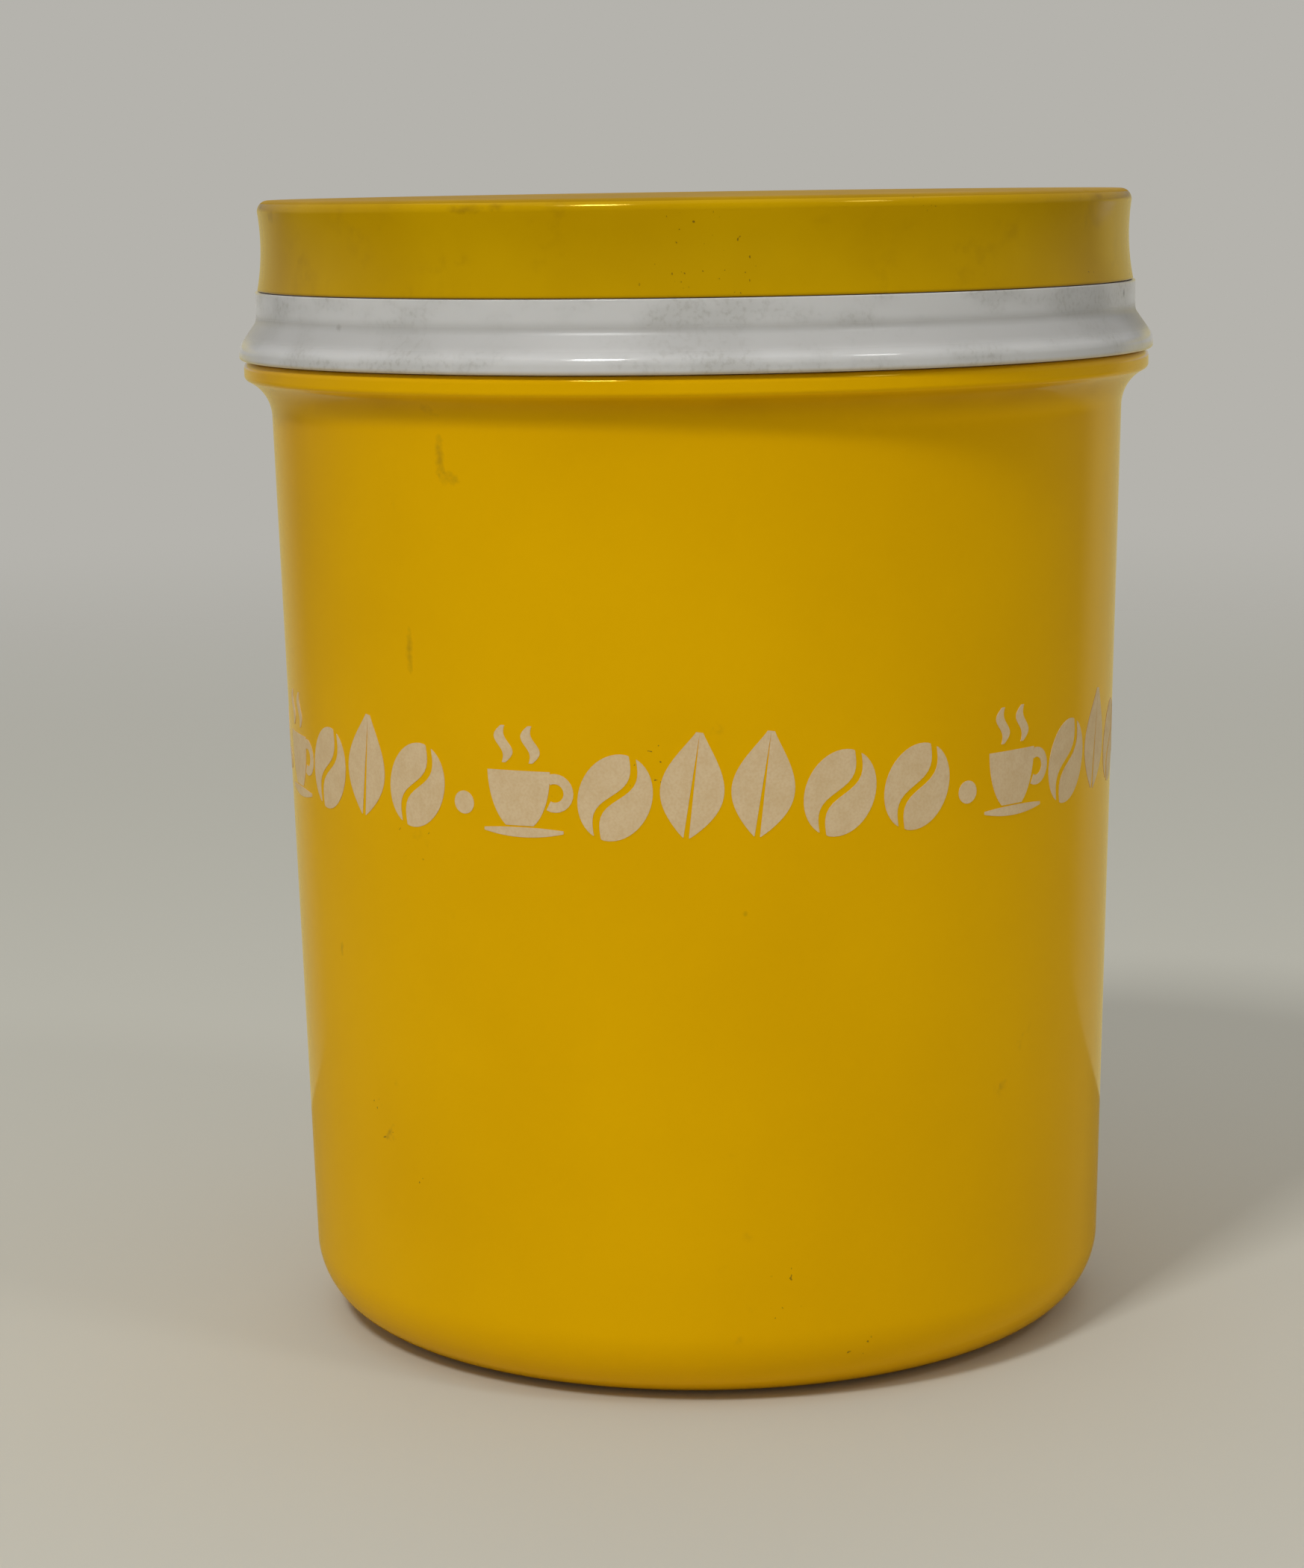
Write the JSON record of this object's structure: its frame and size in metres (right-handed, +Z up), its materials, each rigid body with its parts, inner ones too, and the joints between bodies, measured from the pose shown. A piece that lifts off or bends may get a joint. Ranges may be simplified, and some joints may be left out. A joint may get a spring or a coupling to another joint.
{
  "type": "coffee canister",
  "caption": "Round moulded kitchen canister with a flared rim, a soft sealing insert that plugs the mouth and a press-on lid cap.",
  "frame": {"origin": "on the surface that the canister stands on, at the centre of the base", "axes": "+Z up along the canister's axis, towards the lid; -Y faces the viewer"},
  "size_m": [0.1256, 0.1256, 0.1558],
  "materials": {
    "body_plastic": "golden yellow, glossy, moulded",
    "insert_plastic": "milky white, waxy, moulded",
    "lid_plastic": "olive yellow, satin gloss, moulded",
    "print_ink": "cream screen print, flat"
  },
  "bodies": {
    "canister": {"canister_body": "body_plastic"},
    "insert": {"sealing_insert": "insert_plastic"},
    "cap": {"lid_cap": "lid_plastic"}
  },
  "joints": [
    {"name": "lid_lift", "type": "slide", "parent": "canister", "child": "insert", "axis": [0, 0, 1], "range_m": [0, 0.06]},
    {"name": "cap_pull", "type": "slide", "parent": "insert", "child": "cap", "axis": [0, 0, 1], "range_m": [0, 0.025]}
  ]
}
